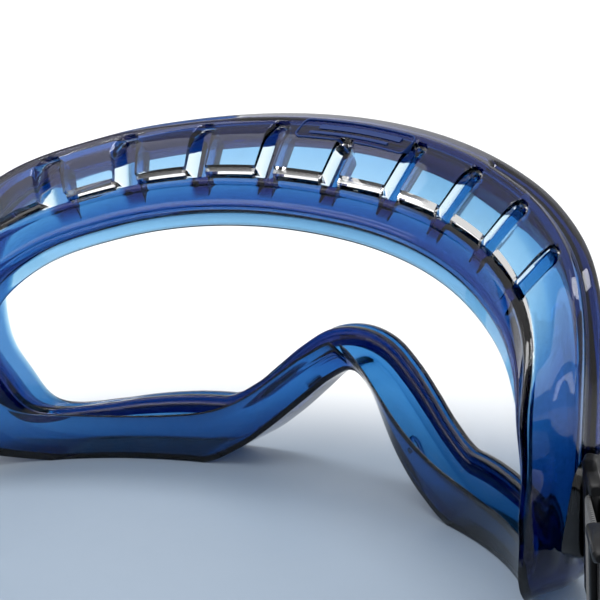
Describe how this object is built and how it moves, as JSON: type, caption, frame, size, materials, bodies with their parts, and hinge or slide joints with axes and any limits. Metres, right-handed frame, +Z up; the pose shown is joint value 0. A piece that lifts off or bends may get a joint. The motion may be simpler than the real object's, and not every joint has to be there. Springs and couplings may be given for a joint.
{
  "type": "ventilated safety goggles",
  "caption": "Wide vision safety goggles: soft translucent blue frame with air channels over the brow, clear curved lens, pivoting black clips and an elastic strap with sliders.",
  "frame": {"origin": "on the surface that the goggles stand on, at the middle of the whole object's box", "axes": "+Z up, -Y the way the wearer looks, +X the wearer's left"},
  "size_m": [0.2866, 0.2249, 0.0946],
  "materials": {
    "soft_blue_frame": "glossy translucent soft moulding",
    "clear_lens": "clear polished polycarbonate",
    "black_plastic": "fine satin moulding",
    "pin_steel": "turned",
    "strap_webbing": "knitted elastic webbing"
  },
  "bodies": {
    "goggles": {"frame_ring_top": "soft_blue_frame", "frame_ring_side_left": "soft_blue_frame", "frame_ring_side_right": "soft_blue_frame", "frame_ring_nose": "soft_blue_frame", "frame_roof": "soft_blue_frame", "frame_side_wall_left": "soft_blue_frame", "frame_side_wall_right": "soft_blue_frame", "frame_floor_wall_left": "soft_blue_frame", "frame_floor_wall_right": "soft_blue_frame", "frame_nose_wall": "soft_blue_frame", "flange_top": "soft_blue_frame", "flange_side_left": "soft_blue_frame", "flange_side_right": "soft_blue_frame", "flange_cheek_left": "soft_blue_frame", "flange_cheek_right": "soft_blue_frame", "flange_nose": "soft_blue_frame", "side_lug_left": "soft_blue_frame", "side_lug_right": "soft_blue_frame", "lens": "clear_lens", "pivot_pin_left": "pin_steel", "pivot_pin_right": "pin_steel", "pin_cap_left": "black_plastic", "pin_cap_right": "black_plastic"},
    "harness": {"elastic_strap": "strap_webbing", "strap_clip_left": "black_plastic", "strap_clip_right": "black_plastic"},
    "slider_left": {"strap_slider_left": "black_plastic"},
    "slider_right": {"strap_slider_right": "black_plastic"}
  },
  "joints": [
    {"name": "harness_swing", "type": "hinge", "parent": "goggles", "child": "harness", "pos_m": [0, -0.05647, 0.03], "axis": [1, 0, 0], "range_deg": [-50, 75]},
    {"name": "slider_left_slide", "type": "slide", "parent": "harness", "child": "slider_left", "axis": [0.5736, 0.8147, -0.0849], "range_m": [-0.008, 0.012]},
    {"name": "slider_right_slide", "type": "slide", "parent": "harness", "child": "slider_right", "axis": [-0.5736, 0.8147, -0.0849], "range_m": [-0.008, 0.012]}
  ]
}
